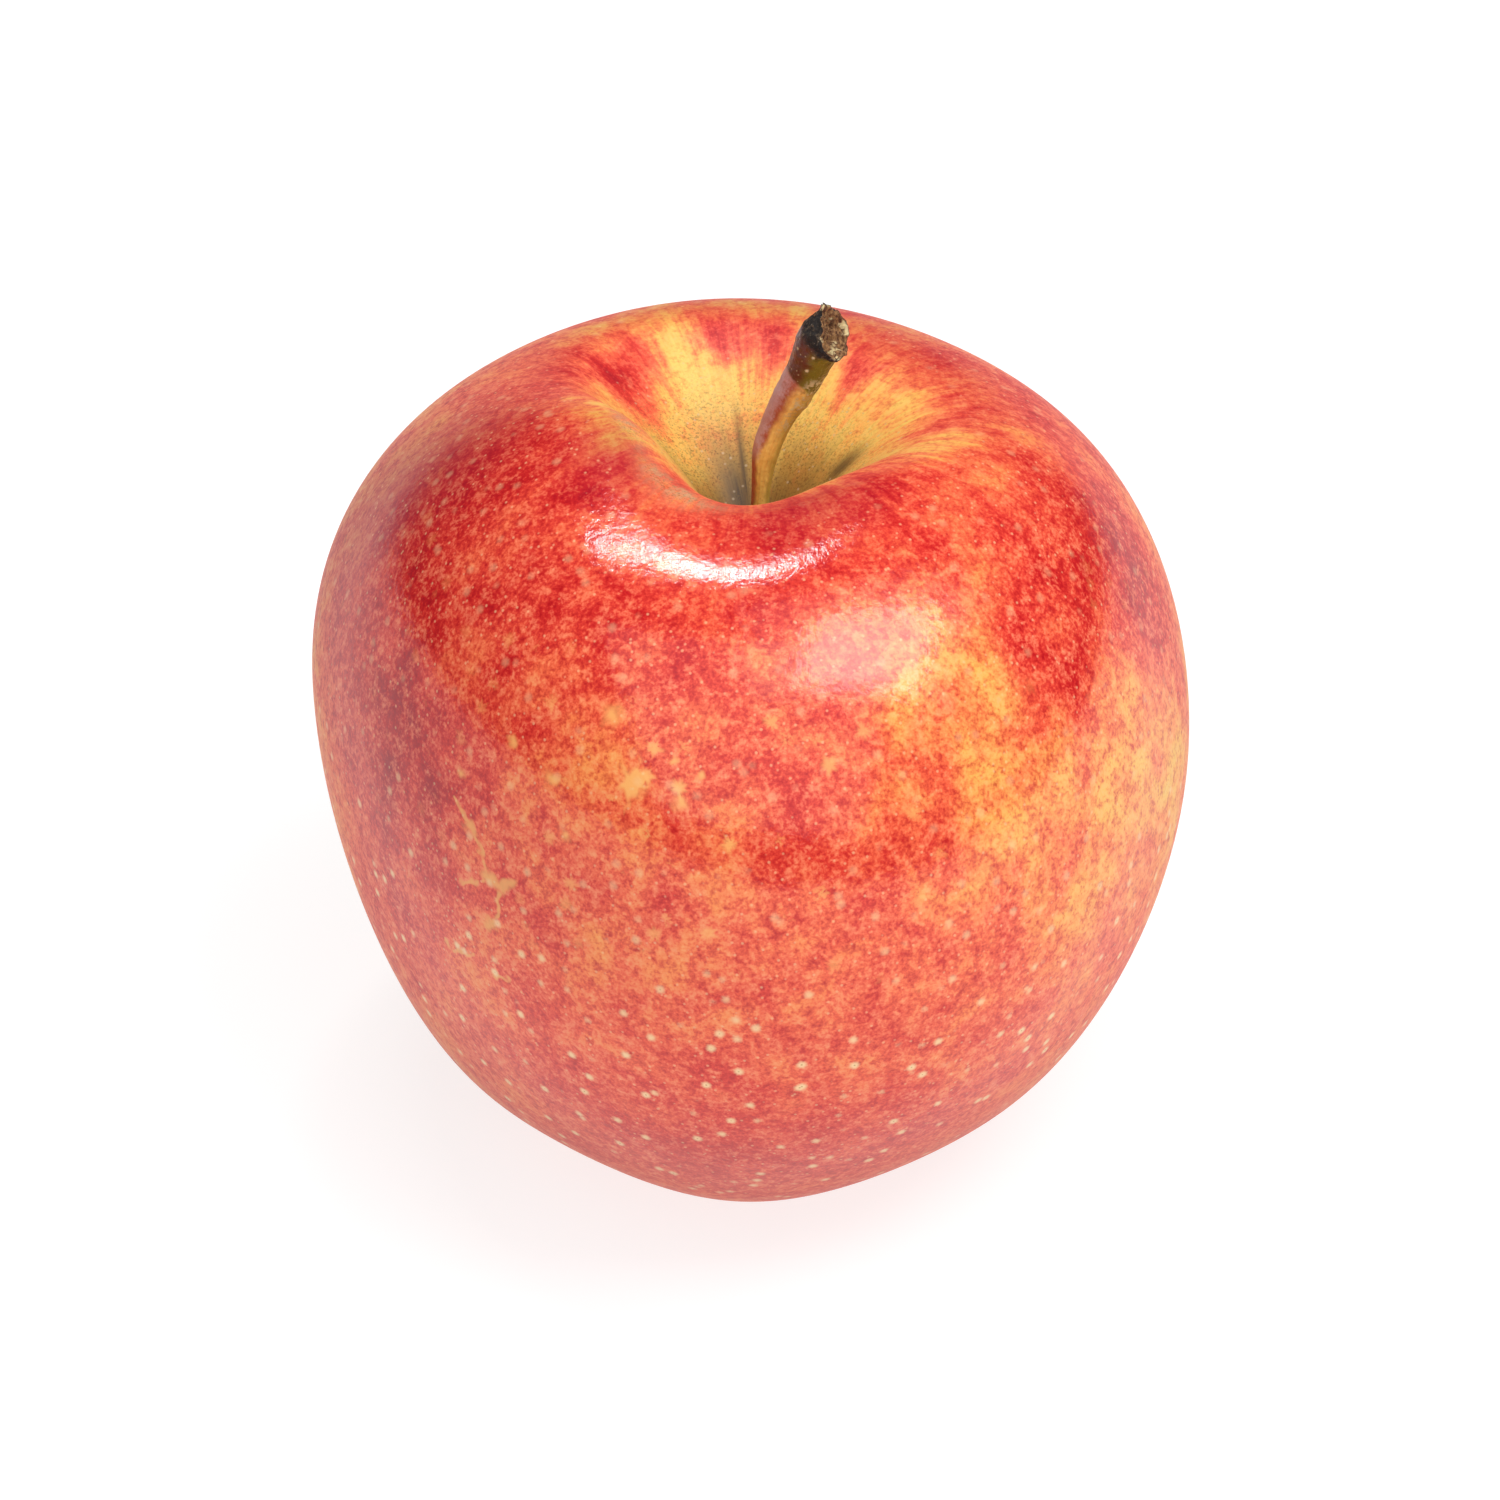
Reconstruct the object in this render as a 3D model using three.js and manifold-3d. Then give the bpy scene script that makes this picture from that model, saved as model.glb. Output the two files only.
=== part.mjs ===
// A red apple: the fruit, its woody stem, and the dried rest of the flower in its base.
//
// Millimetres, +Z up. The fruit stands on the low lobes of its base at Z = 0, and the origin
// lies on that plane, under the middle of the fruit. Headings run from +X towards +Y.
import * as THREE from 'three';
import { mergeVertices } from 'three/addons/utils/BufferGeometryUtils.js';
import ManifoldModule from 'manifold-3d';

// ---- Driving dimensions -------------------------------------------------------------------

// A size that changes on the way round the fruit is a mean with waves on it. Each wave is
// [how many peaks it has round the fruit, its height, the heading of one of its peaks].
const SHOULDER_RADIUS = { mean: 17.4, waves: [[1, 3.1, 81], [2, 1.9, 111], [3, 1.3, 0]] };
const SHOULDER_HEIGHT = { mean: 68.4, waves: [[1, 2.3, 250], [2, 1.05, 7], [3, 0.8, 76]] };
const WIDEST_RADIUS = { mean: 40, waves: [[2, 1.2, 115], [3, 1.2, 35]] };
const WIDEST_HEIGHT = { mean: 38.3, waves: [[1, 2.3, 185]] };
const FOOT_RADIUS = { mean: 14.9, waves: [] };

// How far the skin runs on, level or upright, before it turns away: the fullness of its curves.
const SHOULDER_REACH_IN = { mean: 5.6, waves: [[1, 2.1, 334]] };
const SHOULDER_REACH_OUT = { mean: 9.7, waves: [[1, 1.9, 339], [2, 2, 57]] };
const WIDEST_REACH_UP = { mean: 19.3, waves: [[1, 2.6, 237]] };
const WIDEST_REACH_DOWN = { mean: 17, waves: [] };
const FOOT_REACH_OUT = { mean: 13.5, waves: [[1, 3.1, 210]] };
const FOOT_REACH_IN = { mean: 6, waves: [] };

// The foot is a ring of five lobes, and each lobe is worn flat where it stands.
const LOBE_COUNT = 5;
const LOBE_HEADING = 52;
const LOBE_DEPTH = 1.46;
const LOBE_FLAT_CUT = 0.2;

// The fruit leans a little: its top lies this far along Y from its base.
const LEAN = 1.7;
const LEAN_HEIGHT = 70;

const CAVITY_FLOOR_HEIGHT = 53;
const CAVITY_FLOOR_REACH_OUT = 1.2;
const CAVITY_FLOOR_REACH_UP = 4.8;
const BASIN_FLOOR_HEIGHT = 9.2;
const BASIN_FLOOR_REACH = 2.6;

// The stem: points along its middle, with its radius at each. It roots in the cavity floor,
// bows towards +X and ends in a knob, torn off where it sat on the twig.
const STEM_STATIONS = [
  { x: 0, y: 1.2, z: 48.4, radius: 0.95 },
  { x: 0, y: 1.3, z: 53, radius: 0.95 },
  { x: 0.15, y: 1.4, z: 57, radius: 0.85 },
  { x: 0.4, y: 1.5, z: 60.7, radius: 0.8 },
  { x: 0.6, y: 1.5, z: 63.5, radius: 0.95 },
  { x: 0.95, y: 1.5, z: 66, radius: 1.2 },
  { x: 1.8, y: 1.5, z: 68.7, radius: 1.3 },
  { x: 3.1, y: 1.4, z: 71.7, radius: 1.55 },
  { x: 4.15, y: 1.3, z: 73.6, radius: 1.7 },
  { x: 4.75, y: 1.1, z: 75.3, radius: 1.85 },
  { x: 5.35, y: 0.9, z: 77, radius: 2.0 },
  { x: 6.1, y: 0.6, z: 78.1, radius: 2.15 },
  { x: 7.15, y: 0.3, z: 78.4, radius: 2.15 },
];
const STEM_RIB_COUNT = 5;
const STEM_RIB_HEIGHT = 0.04;
const SCAR_DEPTH = 0.7;
const SCAR_RIM = 0.3;
const SCAR_SPIKE = 0.5;

// The flower's rest: a short cup in the basin floor, with sepals and stamens that hang from it.
const CUP_RADIUS = 2.6;
const CUP_HEIGHT = 2.4;
const SEPAL_COUNT = 5;
const SEPAL_HEADING = 20;
const SEPAL_WIDTH = 3.2;
const SEPAL_THICKNESS = 0.75;
const STAMEN_COUNT = 10;
const STAMEN_RADIUS = 0.32;
const STAMEN_RING_RADIUS = 1.35;
const STAMEN_LENGTH = 3.6;
const STYLE_LENGTH = 2.6;

// Root sockets leave this gap round and above what sits in them.
const SOCKET_GAP = 0.3;

const FRUIT_SIDES = 80;
const CAVITY_STEPS = 9;
const SHOULDER_STEPS = 11;
const SIDE_STEPS = 11;
const BASIN_STEPS = 8;
// Extra steps close to the foot, as fractions of the curves on either side of it.
const FOOT_STEP_OUT = 0.955;
const FOOT_STEP_IN = 0.055;
const STEM_SIDES = 14;
const STEM_STEPS = 44;
const SEPAL_SIDES = 8;
const SEPAL_STEPS = 9;
const STAMEN_SIDES = 6;

const SKIN = new THREE.MeshStandardMaterial({ color: 0xc9402f, roughness: 0.35, metalness: 0 });
const STEM_BARK = new THREE.MeshStandardMaterial({ color: 0x7d5a2b, roughness: 0.75, metalness: 0 });
const DRY_FLOWER = new THREE.MeshStandardMaterial({ color: 0x5a4430, roughness: 0.9, metalness: 0 });

// ---- Helpers ------------------------------------------------------------------------------

/** A size at one heading: its mean and all its waves. */
function sizeAt(size, heading) {
  return size.waves.reduce((sum, [peaks, height, peakHeading]) => {
    const turn = THREE.MathUtils.degToRad(heading - peakHeading);
    return sum + height * Math.cos(peaks * turn);
  }, size.mean);
}

/** `count` values that step evenly from 0 and stop one step short of 1. */
function fractions(count) {
  return Array.from({ length: count }, (_, i) => i / count);
}

/** The closed skin over a row of rings, with a point at each end. Rings turn anticlockwise
 *  seen from the last one, and all have as many points. */
function skinOver(firstPoint, rings, lastPoint) {
  const sides = rings[0].length;
  const points = [firstPoint, ...rings.flat(), lastPoint];
  const last = points.length - 1;
  const faces = [];
  for (let i = 0; i < sides; i += 1) {
    const next = (i + 1) % sides;
    faces.push(0, 1 + next, 1 + i);
    for (let row = 0; row < rings.length - 1; row += 1) {
      const below = 1 + row * sides;
      const above = below + sides;
      faces.push(below + i, below + next, above + next);
      faces.push(below + i, above + next, above + i);
    }
    faces.push(last - sides + i, last - sides + next, last);
  }
  const geometry = new THREE.BufferGeometry().setFromPoints(points);
  geometry.setIndex(faces);
  geometry.computeVertexNormals();
  return geometry;
}

/** A ring of points round `centre`, square to `along`. `side` fixes where the ring starts,
 *  and `radii(turn)` gives its half-widths along `side` and across it. */
function ringRound(centre, along, side, sides, radii) {
  const across = new THREE.Vector3().crossVectors(along, side).normalize();
  const first = new THREE.Vector3().crossVectors(across, along).normalize();
  return fractions(sides).map((fraction) => {
    const turn = fraction * 2 * Math.PI;
    const [wide, thick] = radii(turn);
    return centre.clone()
      .addScaledVector(first, wide * Math.cos(turn))
      .addScaledVector(across, thick * Math.sin(turn));
  });
}

/** One body made of several closed geometries that overlap. */
function joinSolids(manifold, geometries) {
  const solids = geometries.map((geometry) => {
    const bare = geometry.clone();
    bare.deleteAttribute('normal');
    bare.deleteAttribute('uv');
    const welded = mergeVertices(bare);
    return new manifold.Manifold(new manifold.Mesh({
      numProp: 3,
      vertProperties: new Float32Array(welded.attributes.position.array),
      triVerts: new Uint32Array(welded.index.array),
    }));
  });
  const joined = solids.reduce((whole, solid) => whole.add(solid)).getMesh();
  const geometry = new THREE.BufferGeometry();
  geometry.setAttribute('position', new THREE.BufferAttribute(joined.vertProperties, 3));
  geometry.setIndex(new THREE.BufferAttribute(joined.triVerts, 1));
  geometry.computeVertexNormals();
  return geometry;
}

// ---- Fruit --------------------------------------------------------------------------------

/** Height of the foot at one heading, before its lobes are worn flat. */
function footHeight(heading) {
  const turn = THREE.MathUtils.degToRad(LOBE_COUNT * (heading - LOBE_HEADING));
  return LOBE_DEPTH * (1 - Math.cos(turn)) / 2 - LOBE_FLAT_CUT;
}

/** The skin's profile at one heading, from the stem's socket over the shoulder and down the
 *  side to the flower's socket, as [radius, height] points. */
function fruitProfile(heading) {
  const at = (size) => sizeAt(size, heading);
  const point = (radius, height) => new THREE.Vector2(radius, height);
  const stemSocket = STEM_STATIONS[0].radius + SOCKET_GAP;
  const flowerSocket = CUP_RADIUS + SOCKET_GAP;
  const shoulder = point(at(SHOULDER_RADIUS), at(SHOULDER_HEIGHT));
  const widest = point(at(WIDEST_RADIUS), at(WIDEST_HEIGHT));
  const foot = point(at(FOOT_RADIUS), footHeight(heading));

  const cavity = new THREE.CubicBezierCurve(
    point(stemSocket, CAVITY_FLOOR_HEIGHT),
    point(stemSocket + CAVITY_FLOOR_REACH_OUT, CAVITY_FLOOR_HEIGHT + CAVITY_FLOOR_REACH_UP),
    point(shoulder.x - at(SHOULDER_REACH_IN), shoulder.y),
    shoulder,
  );
  const upperSide = new THREE.CubicBezierCurve(
    shoulder,
    point(shoulder.x + at(SHOULDER_REACH_OUT), shoulder.y),
    point(widest.x, widest.y + at(WIDEST_REACH_UP)),
    widest,
  );
  const lowerSide = new THREE.CubicBezierCurve(
    widest,
    point(widest.x, widest.y - at(WIDEST_REACH_DOWN)),
    point(foot.x + at(FOOT_REACH_OUT), foot.y),
    foot,
  );
  const basin = new THREE.CubicBezierCurve(
    foot,
    point(foot.x - at(FOOT_REACH_IN), foot.y),
    point(flowerSocket + BASIN_FLOOR_REACH, BASIN_FLOOR_HEIGHT),
    point(flowerSocket, BASIN_FLOOR_HEIGHT),
  );
  return [
    point(stemSocket, STEM_STATIONS[0].z - SOCKET_GAP),
    ...fractions(CAVITY_STEPS).map((t) => cavity.getPoint(t)),
    ...fractions(SHOULDER_STEPS).map((t) => upperSide.getPoint(t)),
    ...fractions(SIDE_STEPS).map((t) => lowerSide.getPoint(t)),
    lowerSide.getPoint(FOOT_STEP_OUT),
    foot,
    basin.getPoint(FOOT_STEP_IN),
    ...fractions(BASIN_STEPS).slice(1).map((t) => basin.getPoint(t)),
    basin.getPoint(1),
    point(flowerSocket, BASIN_FLOOR_HEIGHT + CUP_HEIGHT + SOCKET_GAP),
  ];
}

/** A point of the fruit, leant with its height and kept above the surface it stands on. */
function fruitPoint(radius, height, heading) {
  const turn = THREE.MathUtils.degToRad(heading);
  const z = Math.max(height, 0);
  const lean = LEAN * z / LEAN_HEIGHT;
  return new THREE.Vector3(radius * Math.cos(turn), radius * Math.sin(turn) + lean, z);
}

function makeFruit() {
  const headings = fractions(FRUIT_SIDES).map((fraction) => LOBE_HEADING + 360 * fraction);
  const profiles = headings.map(fruitProfile);
  const rings = profiles[0].map((_, row) => (
    profiles.map((profile, i) => fruitPoint(profile[row].x, profile[row].y, headings[i]))
  ));
  rings.reverse();
  const flowerSocketEnd = fruitPoint(0, BASIN_FLOOR_HEIGHT + CUP_HEIGHT + SOCKET_GAP, 0);
  const stemSocketEnd = fruitPoint(0, STEM_STATIONS[0].z - SOCKET_GAP, 0);
  return new THREE.Mesh(skinOver(flowerSocketEnd, rings, stemSocketEnd), SKIN);
}

// ---- Stem ---------------------------------------------------------------------------------

/** The stem's radius at a fraction of its stations. */
function stemRadius(fraction) {
  const place = fraction * (STEM_STATIONS.length - 1);
  const below = Math.min(Math.floor(place), STEM_STATIONS.length - 2);
  const blend = THREE.MathUtils.smoothstep(place - below, 0, 1);
  return THREE.MathUtils.lerp(STEM_STATIONS[below].radius, STEM_STATIONS[below + 1].radius, blend);
}

function makeStem() {
  const path = new THREE.CatmullRomCurve3(
    STEM_STATIONS.map(({ x, y, z }) => new THREE.Vector3(x, y, z)),
  );
  const farSide = new THREE.Vector3(0, 1, 0);
  const rings = [...fractions(STEM_STEPS), 1].map((fraction) => {
    const radius = stemRadius(fraction);
    const rib = STEM_RIB_HEIGHT * radius;
    return ringRound(path.getPoint(fraction), path.getTangent(fraction), farSide, STEM_SIDES, (turn) => {
      const ribbed = radius + rib * Math.cos(STEM_RIB_COUNT * turn);
      return [ribbed, ribbed];
    });
  });

  // The torn end: a ragged rim with a spike on its upper side, round a hollow scar.
  const end = path.getPoint(1);
  const outward = path.getTangent(1);
  const rim = rings[rings.length - 1];
  const upward = new THREE.Vector3(0, 0, 1).projectOnPlane(outward).normalize();
  rim.forEach((point, i) => {
    const height = point.clone().sub(end).dot(upward) / stemRadius(1);
    const spike = SCAR_SPIKE * Math.max(height, 0) ** 6;
    const ragged = SCAR_RIM * Math.sin(3 * i) ** 2;
    point.addScaledVector(outward, ragged).addScaledVector(upward, spike);
  });
  const scar = rim.map((point) => point.clone().lerp(end, 0.4).addScaledVector(outward, -SCAR_DEPTH / 2));
  const scarMiddle = end.clone().addScaledVector(outward, -SCAR_DEPTH);
  return new THREE.Mesh(skinOver(path.getPoint(0), [...rings, scar], scarMiddle), STEM_BARK);
}

// ---- Rest of the flower -------------------------------------------------------------------

/** The cup that everything else of the flower grows from, with its root in the socket. */
function flowerCup() {
  const cup = new THREE.CylinderGeometry(CUP_RADIUS * 0.8, CUP_RADIUS, CUP_HEIGHT, 20);
  cup.rotateX(Math.PI / 2);
  cup.translate(0, 0, CUP_HEIGHT / 2);
  return cup;
}

/** One sepal: a thin blade that leaves the cup, bows outward and curls back in at its tip. */
function sepal(heading) {
  const turn = THREE.MathUtils.degToRad(heading);
  const out = new THREE.Vector3(Math.cos(turn), Math.sin(turn), 0);
  const side = new THREE.Vector3(-Math.sin(turn), Math.cos(turn), 0);
  const place = (radius, height) => out.clone().multiplyScalar(radius).setZ(height);
  const path = new THREE.CubicBezierCurve3(
    place(1.3, 1.2), place(1.8, -1.2), place(5.8, -2.6), place(3.4, -5.8),
  );
  const rings = [...fractions(SEPAL_STEPS), 1].map((t) => {
    const width = SEPAL_WIDTH * (0.6 + 2 * t) * (1 - t) + SEPAL_THICKNESS * t;
    return ringRound(path.getPoint(t), path.getTangent(t), side, SEPAL_SIDES, () => (
      [width / 2, SEPAL_THICKNESS / 2]
    ));
  });
  return skinOver(path.getPoint(0), rings, path.getPoint(1));
}

/** A dried thread: a stamen or a style, from the cup down to its withered head. */
function thread(heading, ringRadius, length) {
  const turn = THREE.MathUtils.degToRad(heading);
  const out = new THREE.Vector3(Math.cos(turn), Math.sin(turn), 0);
  const place = (radius, height) => out.clone().multiplyScalar(radius).setZ(height);
  const path = new THREE.QuadraticBezierCurve3(
    place(ringRadius, 0.6), place(ringRadius * 1.5, -length / 2), place(ringRadius * 0.9, -length),
  );
  const radii = [1, 1, 1, 1.5, 1.2];
  const rings = radii.map((swell, i) => {
    const t = i / (radii.length - 1);
    const radius = STAMEN_RADIUS * swell;
    return ringRound(path.getPoint(t), path.getTangent(t), new THREE.Vector3(0, 1, 0), STAMEN_SIDES, () => (
      [radius, radius]
    ));
  });
  return skinOver(path.getPoint(0), rings, path.getPoint(1));
}

function makeFlower(manifold) {
  const sepals = fractions(SEPAL_COUNT).map((fraction) => sepal(SEPAL_HEADING + 360 * fraction));
  const stamens = fractions(STAMEN_COUNT).map((fraction, i) => (
    thread(360 * fraction, STAMEN_RING_RADIUS, STAMEN_LENGTH - 0.4 * (i % 3))
  ));
  const style = thread(90, 0.1, STYLE_LENGTH);
  const geometry = joinSolids(manifold, [flowerCup(), ...sepals, ...stamens, style]);
  return new THREE.Mesh(geometry, DRY_FLOWER);
}

// ---- Assembly -----------------------------------------------------------------------------

const manifold = await ManifoldModule();
manifold.setup();

const fruit = makeFruit();
fruit.name = 'fruit';

const stem = makeStem();
stem.name = 'stem';

const flower = makeFlower(manifold);
flower.name = 'calyx';
flower.position.copy(fruitPoint(0, BASIN_FLOOR_HEIGHT, 0));

const apple = new THREE.Group();
apple.add(fruit, stem, flower);

// The origin is under the middle of the whole apple.
const middle = new THREE.Box3().setFromObject(apple, true).getCenter(new THREE.Vector3());
apple.position.set(-middle.x, -middle.y, 0);

export default apple;
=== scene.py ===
"""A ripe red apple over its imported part: the fruit with its speckled skin, the woody stem torn
off its twig, and the dried rest of the flower in the base."""

import bpy
import numpy as np
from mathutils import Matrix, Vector, noise


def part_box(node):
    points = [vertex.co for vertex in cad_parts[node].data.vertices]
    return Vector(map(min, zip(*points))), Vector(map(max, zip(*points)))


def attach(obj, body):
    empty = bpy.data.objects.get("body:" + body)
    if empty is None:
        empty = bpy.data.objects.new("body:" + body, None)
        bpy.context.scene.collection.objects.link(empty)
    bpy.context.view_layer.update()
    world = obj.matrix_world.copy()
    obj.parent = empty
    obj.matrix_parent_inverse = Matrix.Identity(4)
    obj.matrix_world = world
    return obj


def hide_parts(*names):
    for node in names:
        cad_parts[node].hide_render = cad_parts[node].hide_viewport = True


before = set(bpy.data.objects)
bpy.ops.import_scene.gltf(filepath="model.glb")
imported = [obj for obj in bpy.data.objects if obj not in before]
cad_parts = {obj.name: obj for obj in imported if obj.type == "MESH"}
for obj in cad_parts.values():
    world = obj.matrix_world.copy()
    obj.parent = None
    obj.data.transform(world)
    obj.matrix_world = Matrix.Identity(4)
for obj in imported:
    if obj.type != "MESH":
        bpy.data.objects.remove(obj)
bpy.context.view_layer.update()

# ---- Driving dimensions: millimetres and degrees, headings from +X towards +Y ---------------

MM = 0.001

# A size that changes on the way round the fruit is its mean, then its waves. Each wave is
# (how many peaks it has round the fruit, its height, the heading of one of its peaks).
SHOULDER_RADIUS = (17.4, (1, 3.1, 81), (2, 1.9, 111), (3, 1.3, 0))
SHOULDER_HEIGHT = (68.4, (1, 2.3, 250), (2, 1.05, 7), (3, 0.8, 76))
WIDEST_RADIUS = (40, (2, 1.2, 115), (3, 1.2, 35))
WIDEST_HEIGHT = (38.3, (1, 2.3, 185))
WIDEST_REACH_UP = (19.3, (1, 2.6, 237))
WIDEST_REACH_DOWN = 17
SHOULDER_REACH_IN = (5.6, (1, 2.1, 334))
SHOULDER_REACH_OUT = (9.7, (1, 1.9, 339), (2, 2, 57))
FOOT_RADIUS = 14.9
FOOT_REACH_OUT = (13.5, (1, 3.1, 210))
FOOT_REACH_IN = 6

LOBE_COUNT = 5
LOBE_HEADING = 52
LOBE_DEPTH = 1.46
LOBE_FLAT_CUT = 0.2

LEAN = 1.7
LEAN_HEIGHT = 70

STEM_SOCKET_RADIUS = 1.25
CAVITY_FLOOR_HEIGHT = 53
CAVITY_FLOOR_REACH_OUT = 1.2
CAVITY_FLOOR_REACH_UP = 4.8
FLOWER_SOCKET_RADIUS = 2.9
BASIN_FLOOR_HEIGHT = 9.2
BASIN_FLOOR_REACH = 2.6

# The stem and the flower grow out of blind sockets in the fruit.
STEM_SOCKET_DEPTH = 4.9
FLOWER_SOCKET_DEPTH = 2.7

# The stem: (x, y, z, radius) along its middle, from its root to where it was torn off.
STEM_STATIONS = [
    (0, 1.2, 48.4, 0.95),
    (0, 1.3, 53, 0.95),
    (0.15, 1.4, 57, 0.85),
    (0.4, 1.5, 60.7, 0.8),
    (0.6, 1.5, 63.5, 0.95),
    (0.95, 1.5, 66, 1.2),
    (1.8, 1.5, 68.7, 1.3),
    (3.1, 1.4, 71.7, 1.55),
    (4.15, 1.3, 73.6, 1.7),
    (4.75, 1.1, 75.3, 1.85),
    (5.35, 0.9, 77, 2.0),
    (6.1, 0.6, 78.1, 2.15),
    (7.15, 0.3, 78.4, 2.15),
]

# Where the knob and the crust on it begin and are full, as shares of the stem's length.
KNOB_SHARES = (0.52, 0.66)
CRUST_SHARES = (0.82, 0.93)
SWELLING_SHARE = 0.585
SWELLING_LENGTH = 0.028
SWELLING_HEIGHT = 0.22

# How far the stem's surface stands out or in.
RIB_RELIEF = 0.05
BARK_RELIEF = 0.035
KNOB_RELIEF = 0.12
CRUST_LUMP_RELIEF = 0.16
CRUST_GRAIN_RELIEF = 0.1

# The torn end: a ragged rim round a hollow scar, with a spike on its upper side. It slants
# back on the side that faces forwards and up.
SCAR_DEPTH = 0.9
SCAR_RIM = 0.35
SCAR_SPIKE = 0.6
SCAR_SLANT = 1.1
SCAR_SLANT_WAY = np.array([0, -0.8, 0.6])
SCAR_FIBRE_RELIEF = 0.85
SCAR_GRAIN_RELIEF = 0.16

CUP_RADIUS = 2.6
CUP_HEIGHT = 2.4
SEPAL_COUNT = 5
SEPAL_HEADING = 20
SEPAL_WIDTH = 3.2
SEPAL_THICKNESS = 0.75
SEPAL_CREASE = 0.35
SEPAL_RUFFLE = 0.18
SEPAL_RELIEF = 0.1
STAMEN_COUNT = 10
STAMEN_RADIUS = 0.32
STAMEN_RING_RADIUS = 1.35
STAMEN_LENGTH = 3.6
STYLE_LENGTH = 2.6
THREAD_RELIEF = 0.06

# The middle line of a sepal, (radius, height) from its root: a curve and its two handles.
SEPAL_PATH = [(1.3, 1.2), (1.8, -1.2), (5.8, -2.6), (3.4, -5.8)]

FRUIT_SIDES = 400
CAVITY_STEPS = 50
SHOULDER_STEPS = 70
SIDE_STEPS = 66
BASIN_STEPS = 34
STEM_SIDES = 120
STEM_STEPS = 300
SCAR_STEPS = 36
SEPAL_SIDES = 28
SEPAL_STEPS = 36
THREAD_SIDES = 10
THREAD_STEPS = 16


# ---- Meshes -------------------------------------------------------------------------------

def size_at(size, heading):
    """A size at some headings: its mean and all its waves."""
    if isinstance(size, (int, float)):
        return size + 0 * heading
    mean, *waves = size
    return mean + sum(
        height * np.cos(peaks * np.radians(heading - peak)) for peaks, height, peak in waves
    )


def bezier(start, start_handle, end_handle, end, t):
    return (
        start * (1 - t) ** 3
        + 3 * start_handle * t * (1 - t) ** 2
        + 3 * end_handle * t**2 * (1 - t)
        + end * t**3
    )


def fruit_profile(heading, along):
    """Radius and height of the skin. `along` runs from 0 at the stem's socket to 1 on the
    shoulder, 2 at the widest, 3 on the foot and 4 at the flower's socket."""
    lobe_turn = np.radians(LOBE_COUNT * (heading - LOBE_HEADING))
    foot_height = LOBE_DEPTH * (1 - np.cos(lobe_turn)) / 2 - LOBE_FLAT_CUT
    shoulder = size_at(SHOULDER_RADIUS, heading), size_at(SHOULDER_HEIGHT, heading)
    widest = size_at(WIDEST_RADIUS, heading), size_at(WIDEST_HEIGHT, heading)
    foot = size_at(FOOT_RADIUS, heading), foot_height
    curves = [
        (
            (STEM_SOCKET_RADIUS, CAVITY_FLOOR_HEIGHT),
            (
                STEM_SOCKET_RADIUS + CAVITY_FLOOR_REACH_OUT,
                CAVITY_FLOOR_HEIGHT + CAVITY_FLOOR_REACH_UP,
            ),
            (shoulder[0] - size_at(SHOULDER_REACH_IN, heading), shoulder[1]),
            shoulder,
        ),
        (
            shoulder,
            (shoulder[0] + size_at(SHOULDER_REACH_OUT, heading), shoulder[1]),
            (widest[0], widest[1] + size_at(WIDEST_REACH_UP, heading)),
            widest,
        ),
        (
            widest,
            (widest[0], widest[1] - WIDEST_REACH_DOWN),
            (foot[0] + size_at(FOOT_REACH_OUT, heading), foot[1]),
            foot,
        ),
        (
            foot,
            (foot[0] - FOOT_REACH_IN, foot[1]),
            (FLOWER_SOCKET_RADIUS + BASIN_FLOOR_REACH, BASIN_FLOOR_HEIGHT),
            (FLOWER_SOCKET_RADIUS, BASIN_FLOOR_HEIGHT),
        ),
    ]
    radius, height = 0, 0
    for number, curve in enumerate(curves):
        here = (along >= number) & (along < number + 1) | (along == 4) & (number == 3)
        t = np.clip(along - number, 0, 1)
        radius = np.where(here, bezier(*[point[0] for point in curve], t), radius)
        height = np.where(here, bezier(*[point[1] for point in curve], t), height)
    return radius, height


def fruit_points(heading, along):
    """Points of the skin in millimetres, leant, and kept above what the fruit stands on."""
    radius, height = fruit_profile(heading, along)
    height = np.maximum(height, 0)
    turn = np.radians(heading)
    lean = LEAN * height / LEAN_HEIGHT
    return np.stack([radius * np.cos(turn), radius * np.sin(turn) + lean, height], axis=-1)


def part_offset():
    """How far the part lies from the fruit's own axis, in metres."""
    heading, along = np.meshgrid(np.arange(0, 360, 0.5), np.linspace(1, 3, 200))
    points = fruit_points(heading, along).reshape(-1, 3) * MM
    low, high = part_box("fruit")
    middle = (points.min(axis=0) + points.max(axis=0)) / 2
    return np.array([(low.x + high.x) / 2 - middle[0], (low.y + high.y) / 2 - middle[1], 0])


OFFSET = part_offset()


def closed_skin(name, rings, first_point, last_point):
    """A mesh over a row of rings, closed with a point at each end."""
    rows, sides, _ = rings.shape
    points = np.concatenate([[first_point], rings.reshape(-1, 3), [last_point]])
    at = 1 + np.arange(rows * sides).reshape(rows, sides)
    beside = np.roll(at, -1, axis=1)
    quads = np.stack([at[:-1], beside[:-1], beside[1:], at[1:]], axis=-1).reshape(-1, 4)
    last = len(points) - 1
    faces = quads.tolist()
    faces += [(0, int(b), int(a)) for a, b in zip(at[0], beside[0])]
    faces += [(int(a), int(b), last) for a, b in zip(at[-1], beside[-1])]
    mesh = bpy.data.meshes.new(name)
    mesh.from_pydata(points.tolist(), [], faces)
    mesh.update()
    mesh.polygons.foreach_set("use_smooth", [True] * len(mesh.polygons))
    piece = bpy.data.objects.new(name, mesh)
    bpy.context.scene.collection.objects.link(piece)
    return piece


def mark_place(piece, name, values):
    """Keeps a vector at every point of a piece, for its finish to read."""
    attribute = piece.data.attributes.new(name, "FLOAT_VECTOR", "POINT")
    attribute.data.foreach_set("vector", np.asarray(values, np.float32).ravel())


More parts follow.
